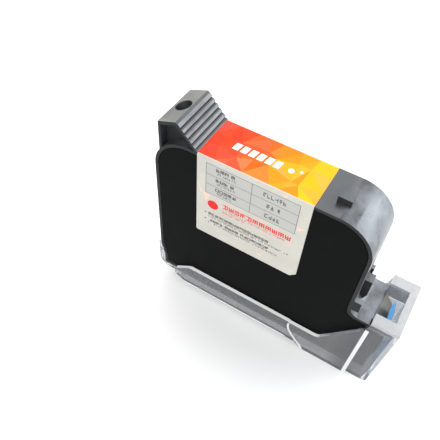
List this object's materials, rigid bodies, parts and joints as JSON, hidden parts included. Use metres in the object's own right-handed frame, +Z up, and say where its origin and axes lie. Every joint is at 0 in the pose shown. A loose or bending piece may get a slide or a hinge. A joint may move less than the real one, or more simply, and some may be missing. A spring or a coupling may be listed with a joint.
{
  "type": "inkjet coder ink cartridge",
  "caption": "Slab-shaped black ink cartridge with a ribbed thumb grip, a print-head nose and a wrap-over label, standing in a clear protective cap.",
  "frame": {"origin": "centre of the footprint on the plane that the cap stands on", "axes": "+X from the heel to the nose, +Y through the thickness towards the back face, +Z up"},
  "size_m": [0.0886, 0.0212, 0.0791],
  "materials": {
    "case_plastic": "semi-gloss black moulded plastic",
    "cover_plastic": "satin black moulded plastic",
    "frame_plastic": "natural polypropylene",
    "bag_film": "thin laminated film",
    "spring_steel": "rolled stainless strip",
    "screen_mesh": "woven stainless mesh",
    "ball_steel": "polished steel ball",
    "silicon": "polished silicon",
    "nozzle_metal": "gold-flashed nickel",
    "polyimide": "amber polyimide film",
    "pad_gold": "gold-plated contact pads",
    "bead_resin": "cured black resin",
    "blue_tape": "blue polyester sealing tape",
    "label_paper": "printed coated label, orange top band",
    "clear_plastic": "clear moulded polycarbonate"
  },
  "bodies": {
    "cap": {"cap": "clear_plastic"},
    "cartridge": {"case_body": "case_plastic", "side_cover_front": "cover_plastic", "side_cover_back": "cover_plastic", "inner_frame": "frame_plastic", "film_front": "bag_film", "film_back": "bag_film", "bow_spring": "spring_steel", "standpipe": "frame_plastic", "screen_front": "screen_mesh", "screen_back": "screen_mesh", "fill_ball": "ball_steel", "die": "silicon", "nozzle_plate": "nozzle_metal", "flex_circuit": "polyimide", "contact_pads": "pad_gold", "encapsulant": "bead_resin", "nozzle_tape": "blue_tape", "label": "label_paper"},
    "front_plate": {"plate_front": "spring_steel"},
    "back_plate": {"plate_back": "spring_steel"}
  },
  "joints": [
    {"name": "cap_pull", "type": "slide", "parent": "cap", "child": "cartridge", "axis": [0, 0, 1], "range_m": [0, 0.04]},
    {"name": "front_plate_slide", "type": "slide", "parent": "cartridge", "child": "front_plate", "axis": [0, 1, 0], "range_m": [0, 0.004], "stiffness_N_per_m": 60, "deforming": ["bow_spring"]},
    {"name": "back_plate_slide", "type": "slide", "parent": "cartridge", "child": "back_plate", "axis": [0, -1, 0], "range_m": [0, 0.004], "stiffness_N_per_m": 60}
  ],
  "couplings": [
    {"joint": "back_plate_slide", "follows": "front_plate_slide", "ratio": 1}
  ]
}
